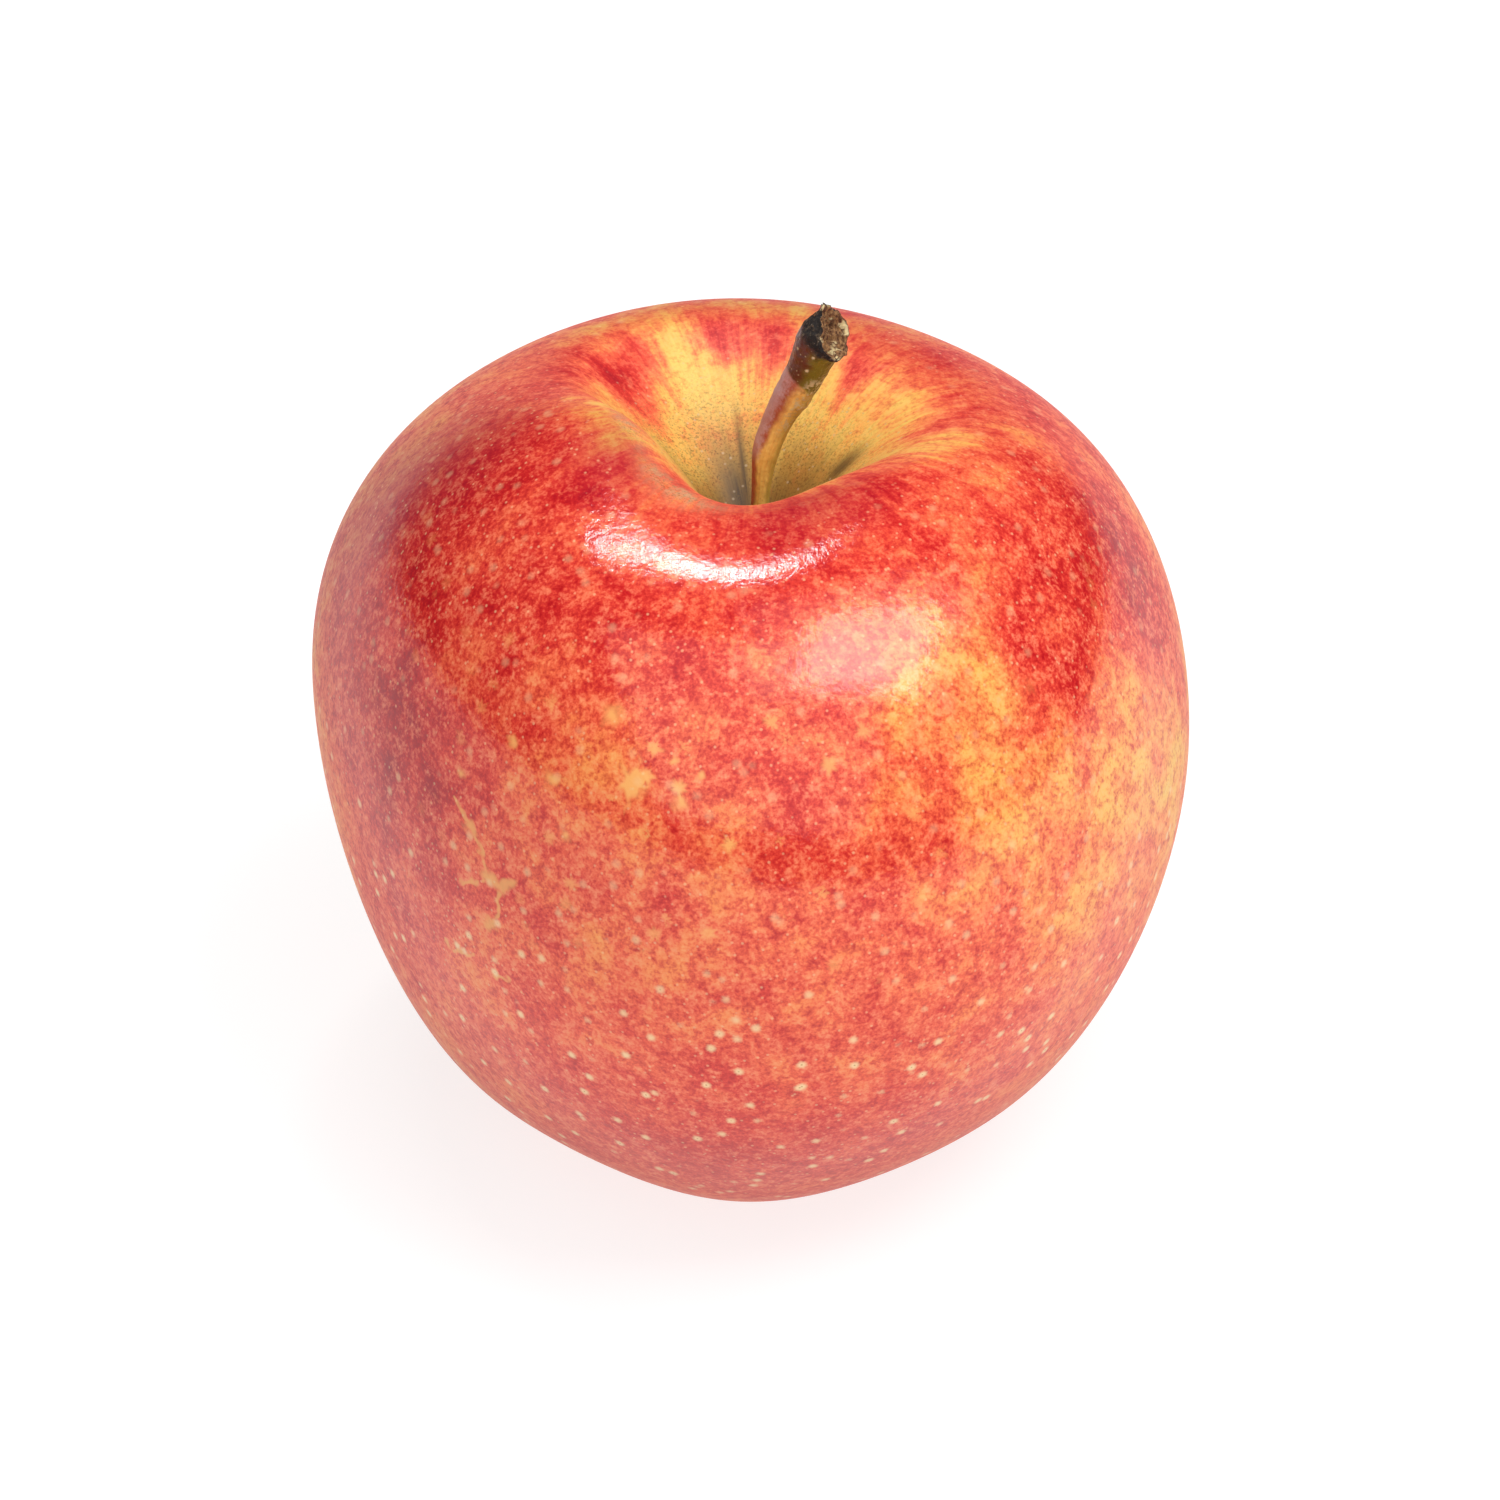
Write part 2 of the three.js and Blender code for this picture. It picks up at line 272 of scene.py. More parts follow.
def on_skin(heading, along):
    """The place of a mark on the skin, in metres."""
    return fruit_points(np.array(float(heading)), np.array(float(along))) * MM + OFFSET


def make_fruit():
    headings = np.arange(FRUIT_SIDES) * 360 / FRUIT_SIDES
    steps = [CAVITY_STEPS, SHOULDER_STEPS, SIDE_STEPS, BASIN_STEPS]
    alongs = np.concatenate([n + np.arange(count) / count for n, count in enumerate(steps)] + [[4]])
    alongs = alongs[::-1]
    heading, along = np.meshgrid(headings, alongs)
    rings = fruit_points(heading, along) * MM + OFFSET
    low, high = rings[0].mean(axis=0), rings[-1].mean(axis=0)
    flower_end = low + [0, 0, FLOWER_SOCKET_DEPTH * MM]
    stem_end = high - [0, 0, STEM_SOCKET_DEPTH * MM]
    piece = closed_skin("apple_skin", rings, flower_end, stem_end)
    turn = np.radians(heading)
    place = np.stack([np.cos(turn), np.sin(turn), along], axis=-1).reshape(-1, 3)
    mark_place(piece, "meridian", np.concatenate([[[0, 0, 4]], place, [[0, 0, 0]]]))
    return piece


def rough(points, cell, octaves=3):
    """Noise about 0 at each point, near -1 to 1, with cells of this size."""
    flat = np.asarray(points, float).reshape(-1, 3) / cell
    values = [noise.fractal(Vector(point), 0.9, 2.1, octaves) for point in flat]
    return np.array(values).reshape(np.shape(points)[:-1])


def eased(value, low, high):
    """0 below `low`, 1 above `high`, and smooth between them."""
    t = np.clip((value - low) / (high - low), 0, 1)
    return t * t * (3 - 2 * t)


def smooth_path(stations, steps):
    """Rows on a smooth curve through the stations."""
    stations = np.array(stations, float)
    before, after = 2 * stations[0] - stations[1], 2 * stations[-1] - stations[-2]
    knots = np.vstack([before, stations, after])
    place = np.linspace(0, len(stations) - 1, steps)
    start = np.minimum(place.astype(int), len(stations) - 2)
    t = (place - start)[:, None]
    a, b, c, d = (knots[start + shift] for shift in range(4))
    linear, square, cube = c - a, 2 * a - 5 * b + 4 * c - d, 3 * b - a - 3 * c + d
    return b + (linear * t + square * t**2 + cube * t**3) / 2


def unit(vectors):
    return vectors / np.linalg.norm(vectors, axis=-1, keepdims=True)


def ways_round(path, side, sides):
    """For each point of a path, `sides` directions square to the path, from `side` on."""
    along = unit(np.gradient(path, axis=0))
    across = unit(np.cross(along, side))
    first = unit(np.cross(across, along))
    turn = np.arange(sides) * 2 * np.pi / sides
    cos, sin = np.cos(turn)[:, None], np.sin(turn)[:, None]
    return first[:, None], across[:, None], cos, sin


def make_stem():
    rows = smooth_path(STEM_STATIONS, STEM_STEPS)
    path, radius = rows[:, :3], rows[:, 3]
    first, across, cos, sin = ways_round(path, (0, 1, 0), STEM_SIDES)
    outward = first * cos + across * sin
    along = np.linspace(0, 1, STEM_STEPS)[:, None] + 0 * outward[..., 0]

    # Fine ribs run along it. The knob is lumpy, and swells out on the side it leans to.
    lengthways = np.concatenate([outward[..., :2] * 3, along[..., None] * 2], axis=-1)
    smooth = path[:, None] + outward * radius[:, None, None]
    knob = eased(along, *KNOB_SHARES)
    relief = rough(lengthways, 0.8) * RIB_RELIEF * (1 - knob * 0.6)
    relief = relief + rough(smooth, 1.6, 2) * KNOB_RELIEF * knob
    relief = relief + rough(smooth, 0.35) * BARK_RELIEF
    swelling = np.exp(-(((along - SWELLING_SHARE) / SWELLING_LENGTH) ** 2))
    relief = relief + SWELLING_HEIGHT * swelling * eased(outward[..., 0], 0, 0.8)
    lumps = rough(smooth, 0.8, 2) * CRUST_LUMP_RELIEF + rough(smooth, 0.3) * CRUST_GRAIN_RELIEF
    relief = relief + lumps * eased(along, *CRUST_SHARES)
    rings = smooth + outward * relief[..., None]

    end = path[-1]
    ahead = unit(path[-1] - path[-2])
    upward = unit(np.array([0, 0, 1]) - ahead * ahead[2])
    forward = unit(SCAR_SLANT_WAY - ahead * (ahead @ SCAR_SLANT_WAY))
    rim = (rings[-1] - end) / radius[-1]
    slant = SCAR_SLANT * (rim @ forward + 1) / 2
    torn = rough(rings[-1], 1.0) * SCAR_RIM - slant
    spike = SCAR_SPIKE * np.maximum(rim @ upward, 0) ** 8
    push = ahead * (SCAR_RIM / 2 + torn)[:, None] + upward * spike[:, None]
    rings = rings + eased(along, 0.9, 1)[..., None] * push
    end = end - ahead * SCAR_SLANT / 2

    # The scar: fibres that run up and down across a hollow inside the rim.
    inward = (1 + np.arange(SCAR_STEPS - 1))[:, None, None] / SCAR_STEPS
    flat = rings[-1] * (1 - inward) + end * inward
    hollow = -SCAR_DEPTH * eased(inward, 0, 0.45)
    side = np.cross(ahead, upward)
    across_scar = np.stack([flat @ side * 2.4, flat @ upward, flat @ ahead], axis=-1)
    fibres = rough(across_scar, 1.2) * SCAR_FIBRE_RELIEF + rough(flat, 0.35) * SCAR_GRAIN_RELIEF
    scar = flat + ahead * (hollow + fibres[..., None] * eased(inward, 0, 0.2))
    piece = closed_skin(
        "apple_stem",
        np.concatenate([rings, scar]) * MM + OFFSET,
        path[0] * MM + OFFSET,
        (end - ahead * SCAR_DEPTH) * MM + OFFSET,
    )
    scar_along = 1 + inward[..., 0] + 0 * scar[..., 0]
    alongs = np.concatenate([along, scar_along])
    ways = np.concatenate([outward, np.repeat(outward[-1:], len(scar), axis=0)])
    place = np.stack([ways[..., 0], ways[..., 1], alongs], axis=-1).reshape(-1, 3)
    mark_place(piece, "stem_place", np.concatenate([[[0, 0, 0]], place, [[0, 0, 2]]]))
    return piece


def joined(pieces, name):
    """One piece made of several."""
    bpy.ops.object.select_all(action="DESELECT")
    for piece in pieces:
        piece.select_set(True)
    bpy.context.view_layer.objects.active = pieces[0]
    bpy.ops.object.join()
    pieces[0].name = name
    return pieces[0]


def flower_frame(heading):
    """From (radius, height) on one side of the flower to points, and its sideways direction."""
    turn = np.radians(heading)
    root = np.array([0, LEAN * BASIN_FLOOR_HEIGHT / LEAN_HEIGHT, BASIN_FLOOR_HEIGHT])
    out = np.array([np.cos(turn), np.sin(turn), 0])
    side = np.array([-np.sin(turn), np.cos(turn), 0])

    def place(radius, height):
        return root + out * radius + np.array([0, 0, height])

    return place, side


def flower_cup():
    """The cup that everything else of the flower grows from, wrinkled as it dried."""
    place, _ = flower_frame(0)
    top = [(0.02, 1), (0.5, 1), (0.97, 1), (1, 0.96)]
    profile = top + [(wide, 1 - up) for wide, up in top[::-1]]
    turn = np.arange(SEPAL_SIDES * 2) * np.pi / SEPAL_SIDES
    rings = []
    for wide, up in profile:
        radius = CUP_RADIUS * wide * (1 - 0.2 * up) * (1 - 0.03 * np.cos(7 * turn) ** 2)
        heights = np.full_like(turn, CUP_HEIGHT * up)
        rings.append(np.stack([radius * np.cos(turn), radius * np.sin(turn), heights], axis=-1))
    rings = np.array(rings[::-1]) + place(0, 0)
    first, last = place(0, 0), place(0, CUP_HEIGHT)
    return closed_skin("cup", rings * MM + OFFSET, first * MM + OFFSET, last * MM + OFFSET)


def sepal(heading):
    """One sepal: a dry blade that bows outward and curls back in, creased along its middle."""
    place, side = flower_frame(heading)
    t = np.linspace(0, 1, SEPAL_STEPS)[:, None]
    path = bezier(*[place(*point) for point in SEPAL_PATH], t)
    first, across, cos, sin = ways_round(path, side, SEPAL_SIDES)
    wide = SEPAL_WIDTH * (0.6 + 2 * t) * (1 - t) + SEPAL_THICKNESS * t
    creased = SEPAL_CREASE * (cos[None, :, 0] ** 2) * np.sin(np.pi * t)
    ruffle = SEPAL_RUFFLE * np.sin(9 * t + heading) * cos[None, :, 0] * np.sin(np.pi * t)
    rings = path[:, None] + first * cos * wide[..., None] / 2
    rings = rings + across * (sin * SEPAL_THICKNESS / 2 + (creased + ruffle)[..., None])
    rings = rings + across * rough(rings, 0.7)[..., None] * SEPAL_RELIEF
    return closed_skin("sepal", rings * MM + OFFSET, path[0] * MM + OFFSET, path[-1] * MM + OFFSET)


def flower_thread(heading, ring_radius, tall):
    """A dried stamen or style, with its withered head."""
    place, _ = flower_frame(heading)
    t = np.linspace(0, 1, THREAD_STEPS)[:, None]
    root, middle = place(ring_radius, 0.6), place(ring_radius * 1.5, -tall / 2)
    head = place(ring_radius * 0.9, -tall)
    path = root * (1 - t) ** 2 + 2 * middle * t * (1 - t) + head * t**2
    first, across, cos, sin = ways_round(path, (0, 1, 0), THREAD_SIDES)
    swell = 1 + 0.5 * eased(t, 0.6, 0.8) - 0.5 * eased(t, 0.88, 1)
    radius = STAMEN_RADIUS * swell[..., None]
    rings = path[:, None] + (first * cos + across * sin) * radius
    rings = rings + rough(rings, 0.6)[..., None] * THREAD_RELIEF
    return closed_skin("thread", rings * MM + OFFSET, path[0] * MM + OFFSET, path[-1] * MM + OFFSET)


def make_calyx():
    sepals = [sepal(SEPAL_HEADING + 360 * i / SEPAL_COUNT) for i in range(SEPAL_COUNT)]
    stamens = [
        flower_thread(360 * i / STAMEN_COUNT, STAMEN_RING_RADIUS, STAMEN_LENGTH - 0.4 * (i % 3))
        for i in range(STAMEN_COUNT)
    ]
    style = flower_thread(90, 0.1, STYLE_LENGTH)
    return joined([flower_cup(), *sepals, *stamens, style], "apple_calyx")


# ---- Finishes -----------------------------------------------------------------------------

def srgb(red, green, blue):
    """A colour from its 0 to 255 screen values."""
    screen = np.array([red, green, blue]) / 255
    linear = np.where(screen < 0.04045, screen / 12.92, ((screen + 0.055) / 1.055) ** 2.4)
    return (*linear.tolist(), 1.0)


class Flow:
    """An output of a material's nodes. Arithmetic on it adds Math nodes."""

    def __init__(self, tree, socket=None):
        self.tree = tree
        self.socket = socket

    def node(self, kind, settings, inputs, output=None):
        """An output of a new node. Its settings are set before its inputs."""
        made = self.tree.nodes.new(kind)
        for name, value in settings.items():
            if name == "stops":
                lay_stops(made.color_ramp, value)
            else:
                setattr(made, name, value)
        sockets = [socket for socket in made.inputs if socket.enabled]
        for key, value in inputs.items():
            named = [socket for socket in sockets if socket.name == key]
            socket = named[0] if named else made.inputs[key]
            if isinstance(value, Flow):
                self.tree.links.new(value.socket, socket)
            else:
                socket.default_value = value
        results = [socket for socket in made.outputs if socket.enabled]
        chosen = [socket for socket in results if socket.name == output]
        return Flow(self.tree, (chosen or results)[0])

    def math(self, operation, *values, clamp=False):
        inputs = dict(enumerate(values))
        return self.node("ShaderNodeMath", {"operation": operation, "use_clamp": clamp}, inputs)

    def __add__(self, other):
        return self.math("ADD", self, other)

    __radd__ = __add__

    def __sub__(self, other):
        return self.math("SUBTRACT", self, other)

    def __rsub__(self, other):
        return self.math("SUBTRACT", other, self)

    def __mul__(self, other):
        return self.math("MULTIPLY", self, other)

    __rmul__ = __mul__

    def __truediv__(self, other):
        return self.math("DIVIDE", self, other)


def lay_stops(ramp, stops):
    """Sets a colour ramp to (place, colour) stops."""
    while len(ramp.elements) > 1:
        ramp.elements.remove(ramp.elements[-1])
    ramp.elements[0].position, ramp.elements[0].color = stops[0]
    for place, colour in stops[1:]:
        ramp.elements.new(place).color = colour


def smooth_change(value, low, high, before, after):
    """`before` below `low`, `after` above `high`, and smooth between them."""
    settings = {"interpolation_type": "SMOOTHSTEP", "clamp": False}
    inputs = {"From Min": low, "From Max": high, "To Min": before, "To Max": after}
    return value.node("ShaderNodeMapRange", settings, {"Value": value, **inputs}, "Result")


def step(value, low, high):
    """0 below `low`, 1 above `high`."""
    return smooth_change(value, low, high, 0, 1)


def fade(value, low, high, most=1):
    """`most` below `low`, 0 above `high`."""
    return smooth_change(value, low, high, most, 0)


def fine(place, cell, detail, roughness):
    """Noise about 0, near -1 to 1, whose cells are this many metres across."""
    inputs = {"Vector": place, "Scale": 1 / cell, "Detail": detail, "Roughness": roughness}
    value = place.node("ShaderNodeTexNoise", {"noise_dimensions": "3D"}, inputs)
    return (value - 0.5) * 3


def moved(place, cell, reach):
    """A place pushed about by up to `reach` metres, in cells of this size."""
    inputs = {"Vector": place, "Scale": 1 / cell, "Detail": 0.0}
    push = place.node("ShaderNodeTexNoise", {"noise_dimensions": "3D"}, inputs, "Color")
    centred = vector_math("SUBTRACT", push, (0.5, 0.5, 0.5))
    scaled = vector_math("MULTIPLY", centred, (2 * reach,) * 3)
    return vector_math("ADD", place, scaled)


def vector_math(operation, first, *others):
    """Vector maths on two or three vectors, the first of them a Flow."""
    inputs = dict(enumerate((first, *others)))
    return first.node("ShaderNodeVectorMath", {"operation": operation}, inputs)


def stretched(place, scale):
    return vector_math("MULTIPLY", place, scale)


def length(vector):
    return vector.node("ShaderNodeVectorMath", {"operation": "LENGTH"}, {0: vector}, "Value")


def mix(first, second, factor):
    """Two colours mixed: all of the second where the factor is 1."""
    settings = {"data_type": "RGBA", "clamp_factor": True}
    inputs = {"Factor": factor, "A": first, "B": second}
    return factor.node("ShaderNodeMix", settings, inputs, "Result")


def new_finish(name):
    """A material, the start of its nodes, and its shader's inputs."""
    material = bpy.data.materials.new(name)
    material.use_nodes = True
    shader = material.node_tree.nodes["Principled BSDF"]
    return material, Flow(material.node_tree), shader.inputs


def shader_link(socket, value):
    value.tree.links.new(value.socket, socket)


def bumped(height, reach):
    """The bump of a surface whose height of 1 stands for this many metres."""
    inputs = {"Strength": 1.0, "Distance": reach, "Height": height}
    return height.node("ShaderNodeBump", {}, inputs)


def patches(meridian, rows):
    """The sum of soft patches, each (heading, along, half-width in degrees, half-length in
    units of along, strength)."""
    total = 0
    for heading, along, wide, tall, strength in rows:
        turn = np.radians(heading)
        middle = np.array([np.cos(turn), np.sin(turn), along])
        across = 1 / (2 * np.sin(np.radians(wide / 2)))
        scale = np.array([across, across, 1 / tall])
        shift = -middle * scale
        away = vector_math("MULTIPLY_ADD", meridian, tuple(scale.tolist()), tuple(shift.tolist()))
        total = fade(length(away), 0, 1.15, strength) + total
    return total


# Spreads the spots' middles far apart in the noise that gives each its own rays.
SPOT_SPREAD = 900


def spots(place, apart, radius, ragged):
    """Spots of this radius about this far apart on a surface, and their small middles. They
    are balls scattered through space, which the surface cuts. Ragged ones have rays."""
    cell = (apart**2 * 2 * radius) ** (1 / 3)
    inputs = {"Vector": place, "Scale": 1 / cell}
    middle = place.node("ShaderNodeTexVoronoi", {"feature": "F1"}, inputs, "Position")
    away = vector_math("SUBTRACT", place, middle)
    heading = away.node("ShaderNodeVectorMath", {"operation": "NORMALIZE"}, {0: away})
    own = vector_math("ADD", heading, stretched(middle, (SPOT_SPREAD,) * 3))
    near = length(away) / ((fine(own, 0.45, 1.0, 0.6) * ragged + 1) * radius)
    return fade(near, 0.3, 1.2), fade(near, 0.1, 0.24)


def marks(place, rows):
    """Spots at chosen places: (heading, along, radius in millimetres)."""
    total = 0
    for heading, along, radius in rows:
        middle = tuple(on_skin(heading, along).tolist())
        near = length(vector_math("SUBTRACT", place, middle))
        total = fade(near, 0.1 * radius * MM, 1.3 * radius * MM) + total
    return total


def veins(place, rows, taper):
    """Thin branched lines: (heading, along) of both ends, and half a width in millimetres at
    the first end, which loses the share `taper` on the way to the other."""
    total = None
    for first_heading, first_along, last_heading, last_along, half_width in rows:
        start = on_skin(first_heading, first_along)
        run = on_skin(last_heading, last_along) - start
        away = vector_math("SUBTRACT", place, tuple(start.tolist()))
        inputs = {0: away, 1: tuple((run / (run @ run)).tolist())}
        share = away.node("ShaderNodeVectorMath", {"operation": "DOT_PRODUCT"}, inputs, "Value")
        # The nearest point of the line is never past its ends.
        share = share.math("ADD", share, 0.0, clamp=True)
        off_line = vector_math("MULTIPLY_ADD", share, tuple((-run).tolist()), away)
        half = half_width * MM
        near = share.math("MULTIPLY_ADD", share, taper * half, length(off_line))
        line = fade(near, 0.3 * half, 1.2 * half)
        total = total.math("MAXIMUM", total, line) if total else line
    return total


# Tones of the skin: 0 is its yellow ground, 1 its deepest crimson.
SKIN_TONES = [
    (0.0, srgb(248, 206, 104)),
    (0.16, srgb(254, 188, 92)),
    (0.32, srgb(253, 144, 80)),
    (0.48, srgb(246, 104, 70)),
    (0.64, srgb(230, 68, 54)),
    (0.8, srgb(208, 38, 38)),
    (1.0, srgb(172, 16, 34)),
]

WAX_IOR = 1.44

PALE_FLECK = srgb(255, 168, 126)
DARK_FLECK = srgb(170, 18, 28)
PAINTED_SHADE_CRIMSON = srgb(136, 22, 56)
ORANGE_SPOT = srgb(255, 180, 106)
OLIVE_MARK = srgb(248, 176, 102)
CREAM_SPOT = srgb(252, 214, 162)
SPOT_MIDDLE = srgb(176, 110, 58)
BASE_PAINTED_SHADE = srgb(150, 70, 48)
RIM_DUST_AND_SHEEN = srgb(222, 172, 126)
CAVITY_KHAKI = srgb(160, 118, 48)
CAVITY_PAINTED_SHADE = srgb(78, 58, 32)
CAVITY_DIRT = srgb(112, 80, 36)
CAVITY_CRUMB = srgb(206, 186, 150)

# Every patch is (heading, along, half-width in degrees, half-length in units of along,
# strength). Here the skin is redder (+) or yellower (-) than elsewhere at its height.
RED_PATCHES = [
    (136, 0.73, 15, 0.26, 0.5),
    (142, 1.02, 14, 0.2, 0.2),
    (100, 0.88, 9, 0.22, 0.48),
    (124, 1.14, 14, 0.08, -0.2),
    (86, 0.84, 11, 0.22, 0.34),
    (54, 0.86, 10, 0.2, 0.34),
    (40, 1.1, 12, 0.1, 0.16),
    (6, 0.9, 12, 0.16, 0.16),
    (112, 1.0, 9, 0.4, -0.26),
    (28, 0.9, 10, 0.12, -0.14),
    (346, 0.98, 17, 0.17, -0.36),
    (194, 1.0, 30, 0.2, -0.38),
    (231, 0.96, 29, 0.14, -0.23),
    (222, 1.18, 18, 0.14, 0.14),
    (196, 1.4, 26, 0.34, 0.16),
    (196, 1.72, 26, 0.34, 0.28),
    (214, 1.83, 20, 0.28, 0.29),
    (209, 2.18, 18, 0.3, 0.18),
    (266, 2.4, 46, 0.32, 0.2),
    (250, 1.2, 26, 0.16, -0.12),
    (326, 0.95, 12, 0.12, -0.14),
    # This row darkens the cavity's far wall, a painted shade.
    (132, 0.85, 11, 0.24, 0.26),
    (222, 1.95, 26, 0.3, 0.14),
    (322, 1.33, 12, 0.1, -0.14),
    (330, 1.16, 24, 0.14, -0.2),
    (331, 1.47, 16, 0.18, 0.16),
    (349, 1.57, 18, 0.28, 0.36),
    (357, 1.1, 18, 0.2, -0.13),
    (292, 1.42, 25, 0.18, -0.2),
    (274, 1.64, 12, 0.1, 0.12),
    (318, 1.58, 12, 0.12, 0.24),
    (345, 2.0, 20, 0.25, -0.14),
    (85, 1.1, 26, 0.12, -0.26),
    (121, 0.8, 10, 0.15, 0.27),
    (18, 0.86, 14, 0.2, -0.22),
    (228, 1.52, 19, 0.3, 0.12),
    (356, 1.42, 16, 0.2, 0.14),
    (303, 1.62, 16, 0.26, -0.26),
    (326, 1.86, 30, 0.28, -0.2),
    (252, 1.62, 13, 0.16, -0.08),
    (20, 1.4, 20, 0.3, 0.1),
    (110, 1.8, 40, 0.5, -0.16),
]

# Painted shade: where the crimson is darkened and dulled to stand in for shade, on the near and far
# rims and down the left side.
PAINTED_SHADE_PATCHES = [
    (216, 1.02, 30, 0.22, 0.4),
    (288, 0.98, 36, 0.2, 0.36),
    (80, 1.14, 80, 0.22, 0.26),
    (180, 1.5, 24, 0.42, 0.5),
]

# Where wide orange spots are most.
SPOTTED_PATCHES = [(264, 1.75, 46, 0.6, 0.8)]

# The cavity: dust and painted sheen on its near rim, painted light where its wall is left free of
# khaki, and painted shade in its crease, on its right wall and low down.
DUST_AND_SHEEN_PATCHES = [(202, 0.88, 20, 0.13, 0.9), (240, 0.92, 26, 0.13, 1.1)]
PAINTED_LIGHT_CAVITY_PATCHES = [(80, 0.46, 10, 0.26, 0.6), (132, 0.42, 20, 0.2, 0.5)]
PAINTED_SHADE_CAVITY_PATCHES = [
    (98, 0.45, 3, 0.18, 0.8),
    (18, 0.54, 12, 0.14, 1.0),
    (40, 0.46, 30, 0.14, 0.3),
    (106, 0.34, 12, 0.16, 0.6),
]

# Ragged spots that stand out on the front: (heading, along, radius in millimetres).
STAR_MARKS = [
    (254, 1.69, 1.4),
    (249.5, 1.578, 1.1),
    (260.5, 1.7, 0.8),
    (259, 1.63, 0.45),
    (263, 1.647, 0.45),
    (245.5, 1.82, 0.6),
    (242.5, 1.737, 0.9),
    (235, 1.71, 0.6),
    (227, 1.82, 0.6),
]

# The rays of the widest star, given like the olive marks.
STAR_RAYS = [
    (254, 1.69, 251.6, 1.66, 0.67),
    (254, 1.69, 254.7, 1.62, 0.48),
    (254, 1.69, 256.9, 1.69, 0.48),
    (254, 1.69, 253.3, 1.755, 0.58),
    (254, 1.69, 251.2, 1.715, 0.54),
]

# Thin olive marks that branch: the (heading, along) of both ends of each stretch, and half its
# width in millimetres.
OLIVE_VEINS = [
    (226.5, 1.865, 230, 1.885, 0.34),
    (230, 1.885, 231, 1.898, 0.68),
    (231.2, 1.9, 233.5, 1.948, 0.3),
    (228.5, 1.992, 233.3, 1.965, 0.34),
    (233.5, 1.955, 236, 1.958, 0.94),
    (236, 1.955, 238.3, 1.94, 0.68),
    (235.5, 1.97, 235.5, 1.998, 0.38),
    (235.5, 1.998, 234.2, 2.03, 0.34),
    (234, 2.035, 233.4, 2.045, 0.81),
    (224, 2.145, 225.8, 2.152, 0.34),
    (225.8, 2.152, 230.3, 2.128, 0.38),
    (234, 2.142, 236.3, 2.135, 0.41),
]


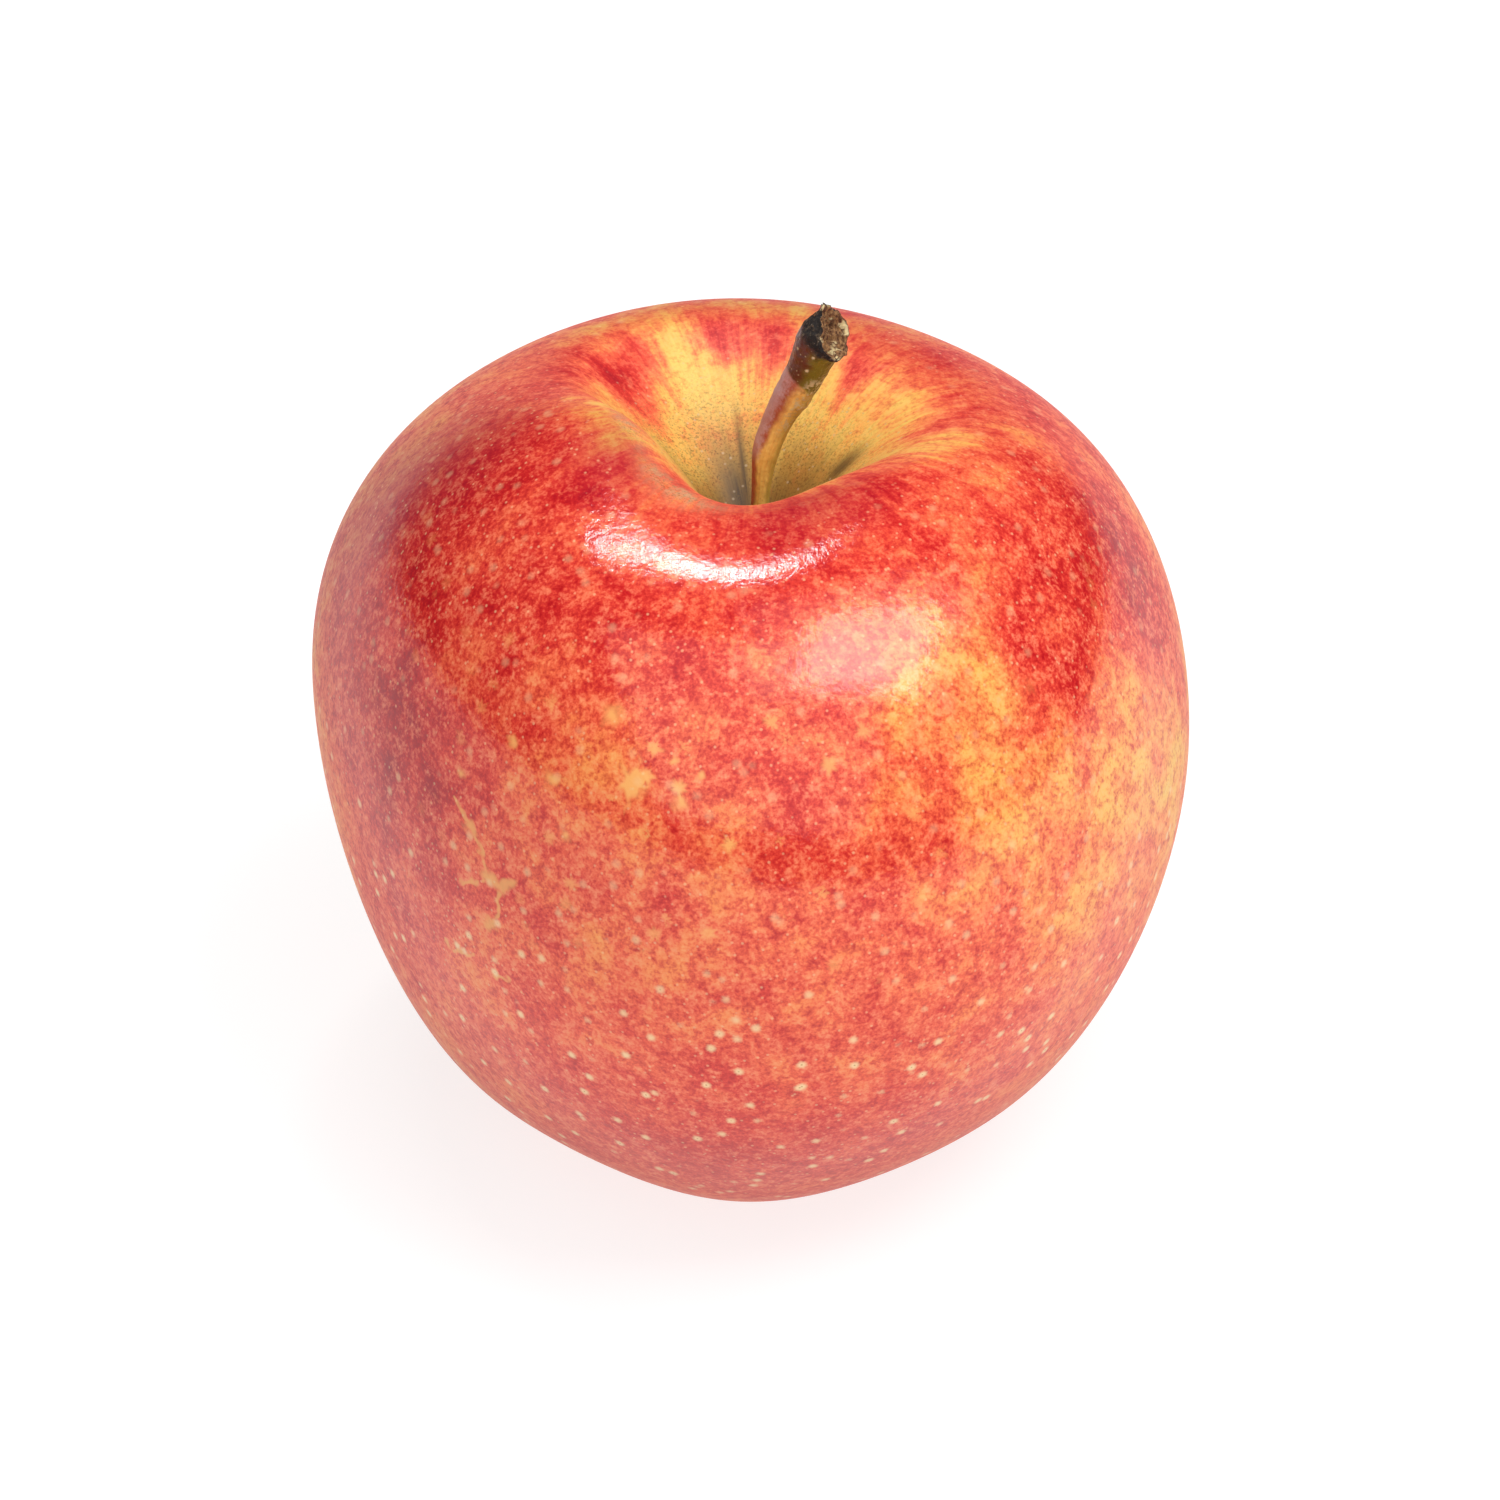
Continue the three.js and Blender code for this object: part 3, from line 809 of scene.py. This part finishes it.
def skin_finish():
    """Fine red mottle over a yellow ground, streaked down from the shoulder, with pale lenticels,
    russet in the cavity and a waxy gloss. Painted shade darkens the rims, the left side, the base
    and parts of the cavity; painted light and sheen lighten others in the cavity and on its near
    rim."""
    material, start, shader = new_finish("apple_skin")
    place = start.node("ShaderNodeTexCoord", {}, {}, "Object")
    meridian = start.node("ShaderNodeAttribute", {"attribute_name": "meridian"}, {}, "Vector")
    along = start.node("ShaderNodeSeparateXYZ", {}, {0: meridian}, "Z")

    # How red the skin is, before its fine mottle.
    back = start.node("ShaderNodeSeparateXYZ", {}, {0: meridian}, "Y")
    shoulder = step(along - back * 0.07, 0.56, 1.06)
    tone = 0.1 + shoulder * (0.47 - back * 0.09) - step(along, 1.2, 1.7) * 0.16
    tone = tone + patches(moved(meridian, 0.16, 0.07), RED_PATCHES)

    # Streaks run down the meridians, most of all round the cavity.
    threads = fine(stretched(meridian, (30, 30, 2.8)), 1.0, 3.0, 0.7)
    bands = fine(stretched(meridian, (9, 9, 1.8)), 1.0, 2.0, 0.65)
    inside = step(along, 0.5, 0.7) * fade(along, 0.95, 1.2)
    streaked = 0.25 + inside * 1.4 + fade(along, 1.0, 1.6, 0.6)
    tone = tone + (threads * 0.09 + bands * 0.1) * streaked

    # The mottle: fine grain, clumps and blotches, stronger below the shoulder than in the
    # cavity and softer again near the base.
    grain = fine(place, 0.36 * MM, 2.0, 0.6)
    clumps = fine(moved(place, 1.6 * MM, 0.5 * MM), 1.15 * MM, 3.0, 0.65)
    blotches = fine(moved(place, 9 * MM, 2.5 * MM), 5 * MM, 2.0, 0.6)
    mottle = grain * 0.14 + clumps * 0.17 + blotches * 0.24
    strength = 0.7 + step(along, 0.9, 1.3) * 0.3 - step(along, 1.8, 2.3) * 0.25
    tone = tone + mottle * strength
    colour = start.node("ShaderNodeValToRGB", {"stops": SKIN_TONES}, {"Fac": tone}, "Color")
    flecks = (grain * 0.7 + clumps) * (0.55 + step(along, 1.1, 1.5) * 0.45)
    colour = mix(colour, PALE_FLECK, flecks * -0.55)
    colour = mix(colour, DARK_FLECK, flecks * 0.62)
    # Painted shade: a dull, darker crimson where the rims and the left side lie in shade.
    colour = mix(colour, PAINTED_SHADE_CRIMSON, patches(meridian, PAINTED_SHADE_PATCHES))

    # Lenticels: a few wide ragged ones on the side, small round ones that crowd the base, and
    # specks all over.
    base = step(along, 1.75, 2.2)
    side = step(along, 1.3, 1.55) * (1 - base * 0.8)
    spotted = patches(meridian, SPOTTED_PATCHES) + 0.2
    wide, _ = spots(place, 6 * MM, 0.75 * MM, 0.65)
    round_ones, middles = spots(place, 3.9 * MM, 0.52 * MM, 0.2)
    specks, _ = spots(place, 1.6 * MM, 0.16 * MM, 0.0)
    wobbly = moved(place, 0.9 * MM, 0.45 * MM)
    star = marks(wobbly, STAR_MARKS) + veins(wobbly, STAR_RAYS, 0.8) * 0.7
    colour = mix(colour, ORANGE_SPOT, (wide * side * spotted + star) * 0.9)
    colour = mix(colour, OLIVE_MARK, veins(wobbly, OLIVE_VEINS, 0.2) * 0.8)
    cream = round_ones.math("MAXIMUM", round_ones * (0.25 + base * 0.7), specks * 0.45)
    colour = mix(colour, CREAM_SPOT, cream * step(along, 0.95, 1.15))
    colour = mix(colour, SPOT_MIDDLE, middles * base * 0.6)
    # Painted shade: the skin turns a darker brown towards the base.
    colour = mix(colour, BASE_PAINTED_SHADE, step(along, 2.15, 2.7) * 0.45)

    # The cavity: khaki russet, painted shade that darkens it low down, in its crease and on its
    # right wall, dirt, and pale streaks over its near rim that are partly dust and partly painted
    # sheen.
    dirt = step(fine(stretched(place, (1.4, 1.4, 0.7)), 0.3 * MM, 2.0, 0.75), -0.12, 0.7)
    # Pale streaks over the near rim: partly dust, partly painted sheen.
    dust_and_sheen = patches(meridian, DUST_AND_SHEEN_PATCHES)
    colour = mix(colour, RIM_DUST_AND_SHEEN, dust_and_sheen * step(threads + clumps, -0.6, 0.8))
    deep = fade(along + clumps * 0.03 + bands * 0.05, 0.36, 0.68)
    # Painted light: less khaki, so a lighter wall, where the cavity's far walls catch the light.
    colour = mix(colour, CAVITY_KHAKI, (deep - patches(meridian, PAINTED_LIGHT_CAVITY_PATCHES)) * 0.8)
    # Painted shade: darker brown towards the cavity's floor, in its crease and on its right wall.
    bottom = fade(along + clumps * 0.02, 0.2, 0.46) + patches(meridian, PAINTED_SHADE_CAVITY_PATCHES)
    colour = mix(colour, CAVITY_PAINTED_SHADE, bottom * (0.8 + threads * 0.3))
    colour = mix(colour, CAVITY_DIRT, dirt * (fade(along, 0.4, 0.85, 0.9) + dust_and_sheen * 0.7))
    colour = mix(colour, CAVITY_CRUMB, specks * fade(along, 0.7, 0.9, 0.5))

    shader_link(shader["Base Color"], colour)
    gloss = step(along - back * 0.1, 0.82, 1.1)
    edge = step(start.node("ShaderNodeLayerWeight", {}, {"Blend": 0.5}, "Facing"), 0.4, 0.85)
    shader_link(shader["Roughness"], 0.5 - gloss * 0.4 + clumps * 0.015 + edge * 0.4)
    shader_link(shader["Normal"], bumped(fine(place, 0.9 * MM, 3.0, 0.65), 0.01235 * MM))
    shader["IOR"].default_value = WAX_IOR
    return material


def stem_finish():
    """Woody skin, orange to olive, crimson on its shaded side, with a crusty torn end."""
    material, start, shader = new_finish("stem_bark")
    place = start.node("ShaderNodeTexCoord", {}, {}, "Object")
    stem_place = start.node("ShaderNodeAttribute", {"attribute_name": "stem_place"}, {}, "Vector")
    side = stem_place.node("ShaderNodeSeparateXYZ", {}, {0: stem_place}, "X")
    along = stem_place.node("ShaderNodeSeparateXYZ", {}, {0: stem_place}, "Z")
    grain = fine(place, 0.3 * MM, 3.0, 0.6)
    patchy = fine(place, 1.3 * MM, 3.0, 0.55)
    ribs = fine(stretched(stem_place, (5, 5, 9)), 1.0, 3.0, 0.6)

    # The lower stem: orange tan, crimson on the left, olive on the right.
    colour = mix(srgb(250, 206, 110), srgb(234, 172, 82), step(ribs + grain * 0.3, -0.4, 0.9))
    olive = step(side + patchy * 0.25 + along * 0.6, 0.35, 0.95)
    colour = mix(colour, srgb(188, 160, 70), olive * 0.8)
    red_reach = step(along, 0.36, 0.56) * 0.4 - 0.5
    crimson = fade(side - red_reach + patchy * 0.25, -0.35, 0.15)
    colour = mix(colour, srgb(172, 62, 54), crimson * 0.9)
    bloom = fade(side + grain * 0.3, -0.8, -0.3) * step(along, 0.36, 0.46)
    colour = mix(colour, srgb(222, 186, 186), bloom * (0.6 + patchy * 0.4))
    soil = step(fine(place, 0.22 * MM, 3.0, 0.7), 0.25, 0.9) * (1 - step(along, 0.1, 0.5) * 0.6)
    colour = mix(colour, srgb(110, 70, 36), soil * 0.6)

    # The knob: red brown on the left, olive in the middle, and pale flakes below it.
    knob = step(along + patchy * 0.02 + side * 0.03, 0.64, 0.67)
    olive_brown = mix(srgb(120, 108, 30), srgb(74, 58, 20), step(patchy + side * 0.4, 0.0, 0.8))
    knob_colour = mix(srgb(96, 42, 28), olive_brown, step(side + patchy * 0.3, -0.55, 0.05))
    knob_colour = mix(knob_colour, srgb(44, 34, 18), step(grain + patchy, 0.2, 1.2) * 0.6)
    colour = mix(colour, knob_colour, knob)
    flakes = step(side, -0.2, 0.3) * step(along, 0.46, 0.54) * fade(along, 0.68, 0.74)
    colour = mix(colour, srgb(96, 74, 34), flakes * step(grain - patchy, 0.1, 0.8) * 0.6)
    colour = mix(colour, srgb(214, 194, 142), flakes * step(grain + patchy, -0.1, 0.4) * 0.9)
    specks = spots(place, 0.8 * MM, 0.09 * MM, 0.5)[0] * 0.5
    specks = specks.math("MAXIMUM", specks, spots(place, 2.6 * MM, 0.2 * MM, 0.3)[0])
    colour = mix(colour, srgb(222, 206, 160), specks * knob)

    # The torn end: black crust with pale crumbs, and brown fibres in the scar.
    crust = step(along + patchy * 0.03 + side * 0.02, 0.84, 0.88)
    crust_colour = mix(srgb(34, 27, 24), srgb(112, 92, 72), step(grain + patchy * 0.7, -0.1, 0.9))
    crust_colour = mix(crust_colour, srgb(222, 210, 184), step(grain, 0.5, 0.75) * 0.8)
    colour = mix(colour, crust_colour, crust)
    scar = step(along + grain * 0.02, 1.0, 1.06)
    fibres = fine(stretched(place, (2.6, 2.6, 0.8)), 0.6 * MM, 3.0, 0.65)
    scar_colour = mix(srgb(84, 48, 30), srgb(186, 138, 88), step(fibres, -0.5, 0.6))
    rim_chunks = step(patchy + grain * 0.3, 0.1, 0.35) * fade(along, 1.3, 1.5)
    scar_colour = mix(scar_colour, srgb(236, 214, 160), rim_chunks * 0.9)
    colour = mix(colour, scar_colour, scar)

    shader_link(shader["Base Color"], colour)
    shader_link(shader["Roughness"], 0.5 + crust * 0.35 - knob * (1 - crust) * 0.18)
    relief = grain * 0.5 + ribs * 0.6 + crust * grain
    shader_link(shader["Normal"], bumped(relief, 0.05 * MM))
    return material


def calyx_finish():
    """Dry brown leafy matter, paler and downy along its ridges."""
    material, start, shader = new_finish("dry_calyx")
    place = start.node("ShaderNodeTexCoord", {}, {}, "Object")
    grain = fine(place, 0.25 * MM, 3.0, 0.65)
    patchy = fine(place, 1.6 * MM, 2.0, 0.5)
    fibres = fine(stretched(place, (3, 3, 0.6)), 0.5 * MM, 3.0, 0.6)
    colour = mix(srgb(70, 50, 32), srgb(128, 100, 66), step(patchy, -0.6, 0.7))
    colour = mix(colour, srgb(44, 30, 20), step(fibres, 0.1, 0.7) * 0.7)
    colour = mix(colour, srgb(176, 158, 122), step(grain, 0.35, 0.8) * 0.5)
    shader_link(shader["Base Color"], colour)
    shader_link(shader["Roughness"], 0.85 + grain * 0.08)
    shader_link(shader["Normal"], bumped(grain * 0.6 + fibres * 0.7, 0.08 * MM))
    return material


# ---- Stage --------------------------------------------------------------------------------

# The camera looks down at the apple at this angle in degrees. Its lens and sensor are in
# millimetres, and lengths in metres.
VIEW_TARGET = Vector((-0.05, 0.26, 34.95)) * MM
VIEW_ELEVATION = 35
VIEW_DISTANCE = 600 * MM
LENS = 160.34
SENSOR_WIDTH = 36
CLIP_START = 0.01

LIGHT_TARGET = Vector((0, 0, 40)) * MM

# Soft boxes: (name, across, tilt, distance, width, height, radiance, turn), with lengths in
# metres and angles in degrees. The strip and its end make the narrow bright band on the near
# shoulder, and the key and its edge the pale sheen below it.
LIGHTS = [
    ("strip", -0.15, 18.3, 1.0, 0.42, 0.06, 30, 14),
    ("strip_end", 0.0, 22, 1.0, 0.12, 0.13, 14, 14),
    ("key", 0.56, -12, 1.0, 0.68, 0.44, 6, 0),
    ("key_edge", 0.62, -10, 1.02, 1.2, 0.7, 1.3, 0),
    ("fill", 0, -42, 1.5, 2.0, 2.0, 1.2, 0),
]
WORLD_STRENGTH = 0.05

# A grey floor that glows a little, so that it comes out nearly white.
FLOOR_SIZE = 6
FLOOR_GREY = 0.32
FLOOR_ROUGHNESS = 0.9
FLOOR_GLOW = 0.78

WHITE = (1, 1, 1, 1)


def aimed(piece, where, target):
    """Puts a camera or light in the scene, looking from `where` at the target."""
    piece.location = where
    piece.rotation_euler = (target - where).to_track_quat("-Z", "Y").to_euler()
    bpy.context.scene.collection.objects.link(piece)
    return piece


def make_camera():
    camera = bpy.data.cameras.new("camera")
    camera.lens = LENS
    camera.sensor_width = SENSOR_WIDTH
    camera.clip_start = CLIP_START
    tilt = np.radians(VIEW_ELEVATION)
    back = Vector((0, -np.cos(tilt), np.sin(tilt)))
    where = VIEW_TARGET + back * VIEW_DISTANCE
    piece = aimed(bpy.data.objects.new("camera", camera), where, VIEW_TARGET)
    bpy.context.scene.camera = piece


def make_light(name, across, tilt, distance, wide, tall, radiance, turned):
    """A soft box, turned about its own middle. It hangs `across` to the right of the apple,
    tilted back from overhead, and looks at the line through the apple from left to right."""
    light = bpy.data.lights.new(name, "AREA")
    light.shape = "RECTANGLE"
    light.size = wide
    light.size_y = tall
    light.energy = radiance * wide * tall * np.pi
    turn = np.radians(tilt)
    target = LIGHT_TARGET + Vector((across, 0, 0))
    where = target + Vector((0, np.sin(turn), np.cos(turn))) * distance
    piece = aimed(bpy.data.objects.new(name, light), where, target)
    piece.rotation_euler.rotate_axis("Z", np.radians(turned))


def make_stage():
    bpy.ops.mesh.primitive_plane_add(size=FLOOR_SIZE)
    floor = bpy.context.object
    floor.name = "floor"
    material, _, shader = new_finish("white_floor")
    shader["Base Color"].default_value = (FLOOR_GREY, FLOOR_GREY, FLOOR_GREY, 1)
    shader["Roughness"].default_value = FLOOR_ROUGHNESS
    shader["Emission Color"].default_value = WHITE
    shader["Emission Strength"].default_value = FLOOR_GLOW
    floor.data.materials.append(material)

    world = bpy.data.worlds.new("studio")
    world.use_nodes = True
    sky = world.node_tree.nodes["Background"].inputs
    sky["Color"].default_value = WHITE
    sky["Strength"].default_value = WORLD_STRENGTH
    bpy.context.scene.world = world
    for light in LIGHTS:
        make_light(*light)


for piece, finish, node, slot in (
    (make_fruit(), skin_finish(), "fruit", "skin"),
    (make_stem(), stem_finish(), "stem", "stem_bark"),
    (make_calyx(), calyx_finish(), "calyx", "dry_calyx"),
):
    piece.data.materials.append(finish)
    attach(piece, "root")
    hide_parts(node)

make_camera()
make_stage()
bpy.context.scene.view_settings.view_transform = "Standard"
